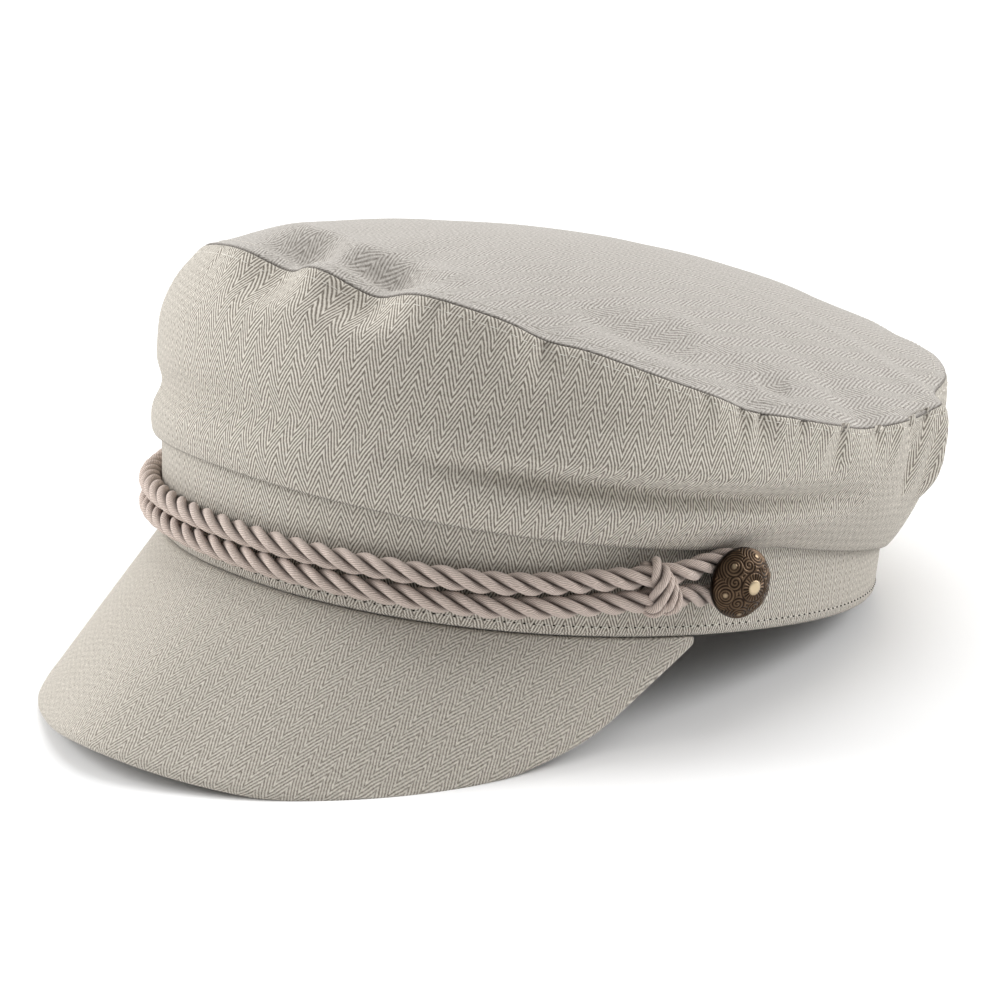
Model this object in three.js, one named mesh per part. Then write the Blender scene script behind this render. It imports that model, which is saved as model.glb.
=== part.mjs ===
// Greek fisherman cap: a soft cloth crown over an upright headband, with a stiffened peak,
// a twisted rope laid round the front in two runs and a cast brass button at each side.
// Millimetres, +Z up, the peak towards -Y. The cap rests on the plane z = 0.
import * as THREE from "three";

// Headband, an oval round the head, a little squarer than an ellipse
const headHalfLength = 103;
const headHalfWidth = 83.2;
const headSquareness = 2.2;
const bandHeight = 28.5;
const bandWall = 2.2;
const bandFlare = 5.1;

// Crown, measured out and up from the headband
const crownOverhangFront = 2.5;
const crownOverhangSide = 13.2;
const crownOverhangRear = 16.3;
const crownRoundness = 1.9;
const crownRiseFront = 54.3;
const crownRiseSide = 27.7;
const crownRiseRear = 36.2;
const crownCornerLift = 2.3;
const crownDome = 21.9;
const crownWall = 1.6;
const sideBulge = 4.5;
const sideBulgePower = 0.8;
const creaseDropFront = 1.3;
const creaseDropSide = 5.6;
const creaseDropRear = 18;

// Peak
const peakReach = 56.5;
const peakWall = 3;
const peakArch = 4.6;
const peakCornerAngle = -12.5;

// Rope, its knots and the buttons
const ropeRadius = 2.9;
const ropeFrontHeight = 9.8;
const ropeRiseStart = 0;
const ropeRiseEnd = 65;
const knotDistance = 19.8;
const knotLength = 8;
const knotWall = 1.2;
const knotSwell = 0.4;
const knotCornering = 3;
const buttonAngle = -10.2;
const buttonHeight = 16;
const buttonRadius = 9;
const buttonDome = 6.6;
const buttonRim = 0.9;
const buttonRelief = 0.6;
const shankRadius = 1.5;
const loopLift = 1.2;

// How the cap lies, and the gaps between its pieces
const restTilt = 10.7;
const restFlat = 0.8;
const gap = 0.3;
const loopGap = 0.5;
const knotGap = 0.5;

// Shares of the top panel, in from its seam, where its dents end and where its folds are held
const topDentReach = 0.25;
const topFoldsStart = 0.02;
const topFoldsFull = 0.12;

// Where the rope climbs over a knot's back, in lengths of the knot from its middle
const knotPlateau = 0.6;
const knotSlopeRear = 1.6;
const knotSlopeFront = 2.4;

// How finely the faces follow the shapes
const columnsRound = 80;
const rowsSide = 10;
const rowsTop = 7;
const columnsPeak = 40;
const rowsPeak = 6;
const ropeSteps = 168;
const ropeSides = 7;
const knotColumns = 20;
const knotRows = 3;
const buttonSides = 24;
const buttonRings = 7;
const runPoints = 24;
const loopPoints = 8;
const smallStep = 0.002;

// Peak sections from its middle to a corner. reach is a share of peakReach, slope is degrees
// below level, and lean turns a section from the oval's normal to the front.
const peakSections = [
  { at: 0, reach: 1, slope: 41, lean: 0.0 },
  { at: 0.2, reach: 0.937, slope: 48, lean: 0.17 },
  { at: 0.4, reach: 0.838, slope: 56.5, lean: 0.34 },
  { at: 0.6, reach: 0.678, slope: 64, lean: 0.51 },
  { at: 0.8, reach: 0.426, slope: 71.5, lean: 0.68 },
  { at: 0.92, reach: 0.18, slope: 75.8, lean: 0.78 },
  { at: 1, reach: 0.02, slope: 78.5, lean: 0.85 },
];

// Dents of the crown's top seam. Angles are degrees, drop is a share of crownRiseFront and
// inset a share of headHalfWidth.
const seamDents = [
  { angle: -91, halfAngle: 6, drop: 0.07, inset: 0.03 },
  { angle: -73, halfAngle: 6, drop: 0.09, inset: 0.03 },
  { angle: -46, halfAngle: 4, drop: 0.03, inset: 0.03 },
  { angle: -16, halfAngle: 4, drop: 0.02, inset: 0.02 },
  { angle: 6, halfAngle: 5, drop: 0.02, inset: 0.03 },
  { angle: 70, halfAngle: 8, drop: 0.03, inset: 0.03 },
  { angle: 135, halfAngle: 7, drop: 0.03, inset: 0.03 },
  { angle: -150, halfAngle: 6, drop: 0.04, inset: 0.02 },
];

// Folds of the crown's side, each from one place to another. share is how far up the side it
// lies. spread and rise are shares of headHalfWidth, and rise is negative for a valley.
const sideFolds = [
  { angle: -118, share: 0.27, toAngle: -86, toShare: 0.31, spread: 0.05, rise: -0.03 },
  { angle: -110, share: 0.08, toAngle: -70, toShare: 0.1, spread: 0.06, rise: 0.02 },
  { angle: -70, share: 0.36, toAngle: -34, toShare: 0.69, spread: 0.06, rise: -0.022 },
  { angle: -60, share: 0.29, toAngle: -8, toShare: 0.59, spread: 0.05, rise: 0.015 },
  { angle: -51, share: 0.27, toAngle: -4, toShare: 0.43, spread: 0.05, rise: -0.035 },
  { angle: -2, share: 0.95, toAngle: 1, toShare: 0.66, spread: 0.05, rise: -0.025 },
  { angle: 19, share: 0.98, toAngle: 22, toShare: 0.5, spread: 0.045, rise: -0.035 },
  { angle: 27, share: 0.98, toAngle: 31, toShare: 0.45, spread: 0.045, rise: 0.03 },
  { angle: 40, share: 0.9, toAngle: 44, toShare: 0.3, spread: 0.06, rise: -0.03 },
  { angle: 58, share: 0.45, toAngle: 110, toShare: 0.5, spread: 0.07, rise: -0.03 },
  { angle: 118, share: 0.9, toAngle: 125, toShare: 0.35, spread: 0.06, rise: -0.03 },
  { angle: 140, share: 0.45, toAngle: 178, toShare: 0.3, spread: 0.06, rise: -0.03 },
  { angle: -172, share: 0.4, toAngle: -135, toShare: 0.6, spread: 0.06, rise: -0.025 },
];

// Hollows and swells of the top panel. share is how far out from its middle each lies.
const topFolds = [
  { angle: -42, share: 0.78, toAngle: -22, toShare: 0.86, spread: 0.09, rise: -0.035 },
  { angle: -26, share: 0.66, toAngle: -14, toShare: 0.8, spread: 0.07, rise: 0.015 },
  { angle: -12, share: 0.87, toAngle: -6, toShare: 0.9, spread: 0.06, rise: -0.03 },
  { angle: -92, share: 0.93, toAngle: -84, toShare: 0.93, spread: 0.08, rise: -0.03 },
  { angle: -76, share: 0.93, toAngle: -68, toShare: 0.93, spread: 0.08, rise: -0.03 },
  { angle: 60, share: 0.8, toAngle: 84, toShare: 0.84, spread: 0.1, rise: -0.03 },
  { angle: 128, share: 0.8, toAngle: 150, toShare: 0.82, spread: 0.1, rise: -0.03 },
  { angle: -160, share: 0.75, toAngle: -135, toShare: 0.85, spread: 0.1, rise: -0.02 },
];

// Relief of a button's face, from its middle out. at and spread are shares of its radius, rise
// is a share of buttonRelief, and bosses is how many bosses a ring has, or 0 for a plain ring.
const buttonRelieves = [
  { at: 0, spread: 0.16, rise: 1, bosses: 0 },
  { at: 0.48, spread: 0.14, rise: 1, bosses: 8 },
  { at: 0.86, spread: 0.08, rise: 0.5, bosses: 0 },
];

const clothColour = 0xc9c3b8;
const ropeColour = 0xbeaca0;
const brassColour = 0x4a3a2c;

const { degToRad, radToDeg, lerp, clamp, smoothstep, euclideanModulo } = THREE.MathUtils;
const up = new THREE.Vector3(0, 0, 1);

function bell(value) {
  return Math.exp(-value * value);
}

// The shortest way round from one angle to another, in degrees.
function angleBetween(from, to) {
  return euclideanModulo(to - from + 180, 360) - 180;
}

// A point of an oval at a plan angle in radians.
function ovalPoint(angle, halfWidth, halfLength, power) {
  const c = Math.cos(angle);
  const s = Math.sin(angle);
  const scale = (Math.abs(c) ** power + Math.abs(s) ** power) ** (-1 / power);
  return new THREE.Vector3(halfWidth * scale * c, halfLength * scale * s, 0);
}

function headPoint(angle) {
  return ovalPoint(angle, headHalfWidth, headHalfLength, headSquareness);
}

// The level direction out of the headband.
function headNormal(angle) {
  const along = headPoint(angle + smallStep).sub(headPoint(angle - smallStep));
  return along.cross(up).normalize();
}

// A point off the headband's outer face, which leans out at the front.
function bandPoint(angle, height, standOff) {
  const front = Math.max(0, -Math.sin(angle)) ** 2;
  const flare = bandFlare * front * (height / bandHeight);
  const point = headPoint(angle).addScaledVector(headNormal(angle), flare + standOff);
  point.z = height;
  return point;
}

// The headband's outer face.
function bandSurface(round, share) {
  return bandPoint(round * 2 * Math.PI, share * bandHeight, 0);
}

// How far a table of folds lifts the cloth at a place, given by its angle and its share.
// roundLength and shareLength are the millimetres of one radian and of the whole share.
function foldRise(folds, degrees, share, roundLength, shareLength) {
  let rise = 0;
  for (const fold of folds) {
    const start = new THREE.Vector2(
      degToRad(angleBetween(degrees, fold.angle)) * roundLength,
      (fold.share - share) * shareLength);
    const run = new THREE.Vector2(
      degToRad(fold.toAngle - fold.angle) * roundLength,
      (fold.toShare - fold.share) * shareLength);
    const nearest = run.lengthSq() > 0 ? clamp(-start.dot(run) / run.lengthSq(), 0, 1) : 0;
    const distance = start.addScaledVector(run, nearest).length();
    rise += fold.rise * headHalfWidth * bell(distance / (fold.spread * headHalfWidth));
  }
  return rise;
}

// How deep the seam's dents are at an angle, as a share of one column of their table.
function dentDepth(angle, column) {
  let depth = 0;
  for (const dent of seamDents) {
    depth += dent[column] * bell(angleBetween(radToDeg(angle), dent.angle) / dent.halfAngle);
  }
  return depth;
}

// The crown's height at an angle and a share of the way from its middle to its seam.
function crownHeight(angle, share) {
  const ends = (crownRiseFront + crownRiseRear) / 2;
  const middle = (ends + crownRiseSide) / 2;
  const saddle = (crownRiseSide - ends) / 2 * Math.cos(2 * angle) * share ** 2;
  const lean = (crownRiseRear - crownRiseFront) / 2 * Math.sin(angle) * share;
  const corners = crownCornerLift * (1 - Math.cos(4 * angle)) / 2 * share ** 4;
  return bandHeight + middle + saddle + lean + corners + crownDome * (1 - share ** 2);
}

// The crown's top seam, where its side and its top panel meet.
const crownCentre = (crownOverhangRear - crownOverhangFront) / 2;

function seamPoint(angle) {
  const halfWidth = headHalfWidth + crownOverhangSide;
  const halfLength = headHalfLength + (crownOverhangFront + crownOverhangRear) / 2;
  const point = ovalPoint(angle, halfWidth, halfLength, crownRoundness);
  point.addScaledVector(headNormal(angle), -dentDepth(angle, "inset") * headHalfWidth);
  point.y += crownCentre;
  point.z = crownHeight(angle, 1) - dentDepth(angle, "drop") * crownRiseFront;
  return point;
}

// How far the crown's lower fold hangs down over the headband.
function creaseDrop(angle) {
  const turn = Math.sin(angle);
  return turn < 0
    ? lerp(creaseDropSide, creaseDropFront, turn * turn)
    : lerp(creaseDropSide, creaseDropRear, turn);
}

// The crown's side, from the fold over the headband up to the seam.
function sideSurface(round, share) {
  const angle = round * 2 * Math.PI;
  const low = bandPoint(angle, bandHeight - creaseDrop(angle), gap + crownWall);
  const high = seamPoint(angle);
  const held = Math.sin(Math.PI * clamp(share, 0, 1)) ** sideBulgePower;
  const folds = foldRise(sideFolds, round * 360, share, headHalfLength, high.z - low.z);
  const swell = sideBulge * held + folds * Math.sqrt(held);
  return low.lerp(high, share).addScaledVector(headNormal(angle), swell);
}

// The top panel, from the seam at inwards 0 to its middle at inwards 1.
function topSurface(round, inwards) {
  const angle = round * 2 * Math.PI;
  const share = 1 - inwards;
  const seam = seamPoint(angle);
  const dented = 1 - smoothstep(inwards, 0, topDentReach);
  const drop = dentDepth(angle, "drop") * crownRiseFront * dented;
  const folds = foldRise(topFolds, round * 360, share, headHalfLength * share, headHalfLength);
  const freed = smoothstep(inwards, topFoldsStart, topFoldsFull);
  return new THREE.Vector3(
    seam.x * share,
    lerp(crownCentre, seam.y, share),
    crownHeight(angle, share) - drop + folds * freed + gap + crownWall);
}

// The peak's sizes run smoothly through the rows of its table, and level across its middle.
const peakSizes = new THREE.CubicInterpolant(
  peakSections.map((row) => row.at),
  peakSections.flatMap((row) => [row.reach, row.slope, row.lean]), 3);
peakSizes.settings = { endingStart: THREE.ZeroSlopeEnding, endingEnd: THREE.ZeroCurvatureEnding };

// The peak's top face, from its edge at inwards 0 to its root under the headband at inwards 1.
function peakSurface(across, inwards) {
  const side = across * 2 - 1;
  const at = Math.min(1, Math.abs(side));
  const angle = degToRad(-90 + side * (90 + peakCornerAngle));
  const outwards = 1 - inwards;
  const [reachShare, slopeDegrees, lean] = peakSizes.evaluate(at);
  const slope = degToRad(slopeDegrees);
  const reach = reachShare * peakReach * outwards;
  const out = headNormal(angle);
  out.y -= lean;
  out.normalize();
  const point = headPoint(angle).addScaledVector(out, reach * Math.cos(slope));
  point.z = peakArch * outwards * inwards * (1 - at * at) - reach * Math.sin(slope) - gap;
  return point;
}

// Where the cap rests, its cloth is pressed flat against the surface under it.
const tilt = degToRad(restTilt);
const floorNormal = new THREE.Vector3(0, -Math.sin(tilt), Math.cos(tilt));
const floorLevel = restFlat - headHalfLength * Math.sin(tilt);

function settle(point) {
  const below = floorLevel - point.dot(floorNormal);
  return below > 0 ? point.addScaledVector(floorNormal, below) : point;
}

// The inner face of a sheet: its outer face moved in by the wall, square to the sheet.
function squareIn(surface, wall) {
  return (u, v) => {
    const alongU = surface(u + smallStep, v).sub(surface(u - smallStep, v));
    const alongV = surface(u, v + smallStep).sub(surface(u, v - smallStep));
    return surface(u, v).addScaledVector(alongU.cross(alongV).normalize(), -wall);
  };
}

// The inner face of an upright sheet round the head, moved in level.
function levelIn(surface, wall) {
  return (u, v) => surface(u, v).addScaledVector(headNormal(u * 2 * Math.PI), -wall);
}

// The inner face of a lying sheet, moved straight down.
function downIn(surface, wall) {
  return (u, v) => surface(u, v).addScaledVector(up, -wall);
}

// A sheet as one closed solid: its outer and inner faces, which are functions of two shares,
// and the rims between them. A round sheet closes on itself along u, and a poled one comes to
// a point at v = 1.
function sheetSolid(outer, inner, columns, rows, { round = false, poled = false } = {}) {
  const lines = round ? columns : columns + 1;
  const positions = [];
  for (const surface of [outer, inner]) {
    for (let j = 0; j <= rows; j++) {
      for (let i = 0; i < lines; i++) {
        positions.push(...settle(surface(i / columns, j / rows)));
      }
    }
  }
  const vertex = (layer, i, j) => {
    const line = poled && j === rows ? 0 : i % lines;
    return (layer * (rows + 1) + j) * lines + line;
  };
  const index = [];
  const face = (a, b, c) => {
    if (a !== b && b !== c && c !== a) index.push(a, b, c);
  };
  const quad = (a, b, c, d) => {
    face(a, b, c);
    face(a, c, d);
  };
  for (let i = 0; i < columns; i++) {
    for (let j = 0; j < rows; j++) {
      quad(vertex(0, i, j), vertex(0, i + 1, j), vertex(0, i + 1, j + 1), vertex(0, i, j + 1));
      quad(vertex(1, i, j), vertex(1, i, j + 1), vertex(1, i + 1, j + 1), vertex(1, i + 1, j));
    }
    quad(vertex(0, i, 0), vertex(1, i, 0), vertex(1, i + 1, 0), vertex(0, i + 1, 0));
    if (!poled) {
      quad(vertex(0, i, rows), vertex(0, i + 1, rows), vertex(1, i + 1, rows), vertex(1, i, rows));
    }
  }
  for (let j = 0; j < rows && !round; j++) {
    const last = columns;
    quad(vertex(0, 0, j), vertex(0, 0, j + 1), vertex(1, 0, j + 1), vertex(1, 0, j));
    quad(vertex(0, last, j), vertex(1, last, j), vertex(1, last, j + 1), vertex(0, last, j + 1));
  }
  const geometry = new THREE.BufferGeometry();
  geometry.setAttribute("position", new THREE.Float32BufferAttribute(positions, 3));
  geometry.setIndex(index);
  return geometry;
}

// The plan angle at a distance along the headband from the left button, towards the front.
function angleAt(distance) {
  const step = Math.sign(distance) * smallStep;
  let angle = degToRad(buttonAngle);
  let walked = 0;
  while (walked < Math.abs(distance)) {
    walked += headPoint(angle - step).distanceTo(headPoint(angle));
    angle -= step;
  }
  return angle;
}

// The height of the middle between the rope's two runs, at a distance from the left button.
function ropeHeight(distance) {
  return lerp(buttonHeight, ropeFrontHeight, smoothstep(distance, ropeRiseStart, ropeRiseEnd));
}

// How far the rope's middle line lies off the headband: it climbs over the back of the knot,
// and on to the loop round the button's shank.
function ropeStandOff(distance) {
  const knotBack = knotGap + knotWall + knotSwell;
  const lengths = (distance - knotDistance) / knotLength;
  const ahead = 1 - smoothstep(lengths, knotPlateau, knotSlopeFront);
  const behind = smoothstep(lengths, -knotSlopeRear, -knotPlateau);
  return ropeRadius + gap + lerp(loopLift, knotBack, behind) * ahead;
}

// The rope's middle line on the left side, as a distance from the button and a height.
const loopRadius = shankRadius + loopGap + ropeRadius;
const runSpacing = ropeRadius + gap / 2;

function runPoint(distance, side) {
  const opened = 1 - smoothstep(distance, 0, knotDistance - knotLength / 2);
  const height = ropeHeight(distance) + side * lerp(runSpacing, loopRadius, opened);
  return bandPoint(angleAt(distance), height, ropeStandOff(distance));
}

function loopPoint(turn) {
  const distance = -loopRadius * Math.sin(turn);
  const height = buttonHeight + loopRadius * Math.cos(turn);
  return bandPoint(angleAt(distance), height, ropeStandOff(distance));
}

// The distance along the headband from the left button to the middle of the front.
function distanceToFront() {
  let walked = 0;
  for (let angle = degToRad(buttonAngle); angle > -Math.PI / 2; angle -= smallStep) {
    walked += headPoint(angle - smallStep).distanceTo(headPoint(angle));
  }
  return walked;
}

// One closed rope: its upper run, a loop round each button's shank, and its lower run.
function ropeGeometry() {
  const front = distanceToFront();
  const upper = [];
  const lower = [];
  for (let k = 0; k < runPoints; k++) {
    const distance = front * (1 - (k + 0.5) / runPoints);
    upper.push(runPoint(distance, 1));
    lower.unshift(runPoint(distance, -1));
  }
  const loop = [];
  for (let k = 1; k < loopPoints; k++) loop.push(loopPoint(k / loopPoints * Math.PI));
  const left = [...upper, ...loop, ...lower];
  const right = left.map((point) => new THREE.Vector3(-point.x, point.y, point.z)).reverse();
  const route = new THREE.CatmullRomCurve3([...left, ...right], true);
  return new THREE.TubeGeometry(route, ropeSteps, ropeRadius, ropeSides, true);
}

// The left knot: a wrap round both runs of the rope.
function knotGeometry() {
  const angle = angleAt(knotDistance);
  const centre = bandPoint(angle, ropeHeight(knotDistance), ropeStandOff(knotDistance));
  const out = headNormal(angle);
  const forward = out.clone().cross(up);
  const wrap = (round, share) => {
    const turn = round * 2 * Math.PI;
    const swell = knotSwell * Math.sin(Math.PI * clamp(share, 0, 1));
    const radius = ropeRadius + knotGap + knotWall + swell;
    const stretch = runSpacing * clamp(Math.sin(turn) * knotCornering, -1, 1);
    return centre.clone()
      .addScaledVector(out, radius * Math.cos(turn))
      .addScaledVector(up, radius * Math.sin(turn) + stretch)
      .addScaledVector(forward, (share - 0.5) * knotLength);
  };
  return sheetSolid(wrap, squareIn(wrap, knotWall), knotColumns, knotRows, { round: true });
}

// How far the button's face is raised, by the share of its radius and the angle round it.
function buttonFaceRise(share, angle) {
  let rise = 0;
  for (const ring of buttonRelieves) {
    const broken = (1 + Math.cos(ring.bosses * angle)) / 2;
    rise += ring.rise * bell((share - ring.at) / ring.spread) * broken;
  }
  return buttonRelief * rise;
}

// A cast button with its shank. Its axis is Y, and it starts a gap away from the headband.
function buttonGeometry() {
  const back = 2 * (ropeRadius + gap) + loopLift;
  const profile = [
    new THREE.Vector2(0, gap),
    new THREE.Vector2(shankRadius, gap),
    new THREE.Vector2(shankRadius, back),
    new THREE.Vector2(buttonRadius, back),
  ];
  for (let k = 0; k <= buttonRings; k++) {
    const turn = k / buttonRings * Math.PI / 2;
    const height = back + buttonRim + (buttonDome - buttonRim) * Math.sin(turn);
    profile.push(new THREE.Vector2(k < buttonRings ? buttonRadius * Math.cos(turn) : 0, height));
  }
  const geometry = new THREE.LatheGeometry(profile, buttonSides);
  const position = geometry.getAttribute("position");
  for (let k = 0; k < position.count; k++) {
    const radius = Math.hypot(position.getX(k), position.getZ(k));
    const angle = Math.atan2(position.getZ(k), position.getX(k));
    const onFace = position.getY(k) > back + buttonRim;
    const rise = onFace ? buttonFaceRise(radius / buttonRadius, angle) : 0;
    position.setY(k, position.getY(k) + rise);
  }
  return geometry;
}

// The same shape on the cap's other side, with its faces turned to point outwards again.
function mirrored(geometry) {
  const copy = geometry.clone().scale(-1, 1, 1);
  const index = copy.getIndex();
  for (let k = 0; k < index.count; k += 3) {
    const first = index.getX(k);
    index.setX(k, index.getX(k + 1));
    index.setX(k + 1, first);
  }
  return copy;
}

function matt(color) {
  return new THREE.MeshStandardMaterial({ color, roughness: 0.95, metalness: 0 });
}

function brass() {
  return new THREE.MeshStandardMaterial({ color: brassColour, roughness: 0.45, metalness: 1 });
}

const cap = new THREE.Group();

function add(name, geometry, material) {
  const mesh = new THREE.Mesh(geometry, material);
  mesh.name = name;
  cap.add(mesh);
  return mesh;
}

function addCloth() {
  const ring = { round: true };
  const disc = { round: true, poled: true };
  const topIn = downIn(topSurface, crownWall);
  const top = sheetSolid(topSurface, topIn, columnsRound, rowsTop, disc);
  const sideIn = levelIn(sideSurface, crownWall);
  const side = sheetSolid(sideSurface, sideIn, columnsRound, rowsSide, ring);
  const bandIn = levelIn(bandSurface, bandWall);
  const band = sheetSolid(bandSurface, bandIn, columnsRound, 1, ring);
  const peakIn = squareIn(peakSurface, peakWall);
  const peak = sheetSolid(peakSurface, peakIn, columnsPeak, rowsPeak);
  add("crown_top", top, matt(clothColour));
  add("crown_side", side, matt(clothColour));
  add("headband", band, matt(clothColour));
  add("peak", peak, matt(clothColour));
}

function addRope() {
  const knot = knotGeometry();
  add("rope", ropeGeometry(), matt(ropeColour));
  add("rope_knot_left", knot, matt(ropeColour));
  add("rope_knot_right", mirrored(knot), matt(ropeColour));
}

function addButtons() {
  const angles = { left: degToRad(buttonAngle), right: Math.PI - degToRad(buttonAngle) };
  for (const [side, angle] of Object.entries(angles)) {
    const button = add(`button_${side}`, buttonGeometry(), brass());
    button.position.copy(bandPoint(angle, buttonHeight, 0));
    button.quaternion.setFromUnitVectors(new THREE.Vector3(0, 1, 0), headNormal(angle));
  }
}

addCloth();
addRope();
addButtons();

// The cap lies on its peak's edge and the rear of its headband, and the origin is the middle
// of its box, on the surface under it.
cap.rotation.x = -tilt;
const box = new THREE.Box3().setFromObject(cap, true);
const middle = box.getCenter(new THREE.Vector3());
cap.position.set(-middle.x, -middle.y, -floorLevel);

export default cap;
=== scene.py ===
import math
from bisect import bisect_left
from collections import namedtuple
from functools import cache

import bmesh
import bpy
from mathutils import Matrix, Vector, noise


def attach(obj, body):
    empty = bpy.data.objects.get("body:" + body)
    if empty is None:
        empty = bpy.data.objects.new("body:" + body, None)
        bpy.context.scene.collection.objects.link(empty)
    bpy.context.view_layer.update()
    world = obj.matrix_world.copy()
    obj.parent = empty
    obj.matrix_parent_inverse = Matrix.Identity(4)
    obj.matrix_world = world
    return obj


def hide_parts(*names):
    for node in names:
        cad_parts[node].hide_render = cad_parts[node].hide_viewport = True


MM = 0.001
UP = Vector((0, 0, 1))

# Headband and the way the cap lies, in millimetres and degrees
HEAD_HALF_LENGTH = 103
HEAD_HALF_WIDTH = 83.2
HEAD_SQUARENESS = 2.2
BAND_HEIGHT = 28.5
BAND_WALL = 2.2
BAND_FLARE = 5.1
REST_TILT = 10.7
REST_FLAT = 0.8
REST_PLACE = Vector((0, 10.2304, 18.3237))

# Crown
OVERHANG_FRONT = 2.5
OVERHANG_SIDE = 13.2
OVERHANG_REAR = 16.3
CROWN_ROUNDNESS = 1.9
RISE_FRONT = 54.3
RISE_SIDE = 27.7
RISE_REAR = 36.2
CORNER_LIFT = 2.3
CROWN_DOME = 21.9
TOP_LIFT = 0.15
CROWN_WALL = 1.3
SIDE_STAND_OFF = 2.4
SIDE_BULGE = 4.5
CREASE_DROP_FRONT = 0.5
CREASE_DROP_SIDE = 5.6
CREASE_DROP_REAR = 18
SEAM_TUCK = 0.8
CREASE_TUCK = 2.2
CREASE_ROLL = 0.7

# Peak
PEAK_REACH = 56.5
PEAK_WALL = 3
PEAK_ARCH = 4.6
PEAK_CORNER_ANGLE = -12.5

# Rope, knots and buttons
ROPE_RADIUS = 2.9
ROPE_FRONT_HEIGHT = 9.8
ROPE_RISE_END = 65
ROPE_LAY = 18.9
ROPE_PLIES = 3
KNOT_DISTANCE = 19.8
KNOT_LENGTH = 8
KNOT_CLEARANCE = 2.1
BUTTON_ANGLE = -10.2
BUTTON_HEIGHT = 16
BUTTON_RADIUS = 9
BUTTON_DOME = 6.6
BUTTON_RIM = 0.9
BUTTON_RELIEF = 0.5
SHANK_RADIUS = 1.5
LOOP_LIFT = 1.2
LOOP_GAP = 0.5
GAP = 0.3

# Camera, as the photograph sees the cap, and the floor's half width in metres
CAMERA_AIM = Vector((0.0, 10.23, 59.2)) * MM
CAMERA_AZIMUTH = math.radians(45.32)
CAMERA_ELEVATION = math.radians(17.33)
CAMERA_DISTANCE = 907.17 * MM
CAMERA_LENS = 122.47
CAMERA_SHIFT = (-0.0260, -0.0927)
CAMERA_SENSOR = 36
CAMERA_REACH = 60
FLOOR_HALF_WIDTH = 20

# Sections of the peak from its middle at 0 to a corner at 1: its reach as a share, its slope in
# degrees and how far it leans to the front
PeakSection = namedtuple("PeakSection", "at reach slope lean")
PEAK_SECTIONS = [
    PeakSection(0.0, 1.0, 41.0, 0.0),
    PeakSection(0.2, 0.937, 48.0, 0.17),
    PeakSection(0.4, 0.838, 56.5, 0.34),
    PeakSection(0.6, 0.678, 64.0, 0.51),
    PeakSection(0.8, 0.426, 71.5, 0.68),
    PeakSection(0.92, 0.18, 75.8, 0.78),
    PeakSection(1.0, 0.02, 78.5, 0.85),
]

# Dents of the top seam: place and half width in degrees, drop and inset in millimetres
SeamDent = namedtuple("SeamDent", "angle half_angle drop inset")
SEAM_DENTS = [
    SeamDent(-90, 6, 4.2, 6.6),
    SeamDent(-73, 6, 5.2, 6.6),
    SeamDent(-46, 4, 1.6, 2.5),
    SeamDent(-16, 4, 1.1, 1.7),
    SeamDent(6, 5, 1.1, 2.5),
    SeamDent(70, 8, 0.8, 1.7),
    SeamDent(135, 7, 1.6, 2.5),
    SeamDent(-150, 6, 2.2, 1.7),
    SeamDent(28, 3, -0.5, -1.8),
    SeamDent(37, 5, 1, 2.5),
]

# The crown's front right corner is rounded off, all the way down its side
CORNER_DENT = SeamDent(-128, 34, 3.6, 3.2)

# Folds of the cloth, each from one place to another, with its half width and its rise
Fold = namedtuple("Fold", "angle share to_angle to_share spread rise")
SIDE_FOLDS = [
    Fold(-140, 0.22, -60, 0.34, 4.6, -3.4),
    Fold(-110, 0.08, -70, 0.1, 5, 1.7),
    Fold(-70, 0.36, -34, 0.69, 5, -1.8),
    Fold(-60, 0.29, -8, 0.59, 4.2, 1.2),
    Fold(-62, 0.26, 8, 0.44, 3, -5),
    Fold(-165, 0.66, -90, 0.7, 9, 2.2),
    Fold(-155, 0.86, -104, 0.87, 6, 1.6),
    Fold(-98, 0.8, -64, 0.8, 3.6, 1.9),
    Fold(-58, 0.12, 8, 0.17, 5, 2.2),
    Fold(-45, 0.45, -2, 0.58, 6, 1.6),
    Fold(-2, 0.95, 1, 0.66, 4.2, -2.1),
    Fold(20, 1.05, 23, 0.4, 3.7, -3.4),
    Fold(28, 1.05, 31, 0.35, 3.2, 3.6),
    Fold(40, 0.9, 44, 0.3, 5, -2.5),
    Fold(58, 0.45, 110, 0.5, 5.8, -2.5),
    Fold(118, 0.9, 125, 0.35, 5, -2.5),
    Fold(140, 0.45, 178, 0.3, 5, -2.5),
    Fold(-172, 0.4, -135, 0.6, 5, -2.1),
]
TOP_FOLDS = [
    Fold(-42, 0.78, -22, 0.86, 7.5, -2.9),
    Fold(-26, 0.66, -14, 0.8, 5.8, 1.2),
    Fold(-12, 0.87, -6, 0.9, 5, -2.5),
    Fold(-100, 0.93, -84, 0.94, 5, -4.5),
    Fold(-82, 0.92, -66, 0.94, 5, -4.5),
    Fold(-108, 0.84, -76, 0.86, 5, 2.4),
    Fold(-76, 0.86, -60, 0.84, 5, 1.2),
    Fold(60, 0.8, 84, 0.84, 8.3, -1),
    Fold(128, 0.8, 150, 0.82, 8.3, -1),
    Fold(-160, 0.75, -135, 0.85, 8.3, -1.7),
]

# The share of its rise that a fold loses at its ends
FOLD_FADE = 0.8

# How the crown's cloth is held, as shares of its way, and how uneven it is, in millimetres
SIDE_HOLD = 0.8
HOLLOW_FOOT = 0.66
PLEAT_HEAD = 0.03
TOP_HOLLOW_END = 0.25
TOP_HELD_END = 0.02
TOP_FREE_START = 0.12
SIDE_UNEVENNESS = 0.5
TOP_UNEVENNESS = 0.6
UNEVENNESS_SPREAD = 28.0

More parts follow.
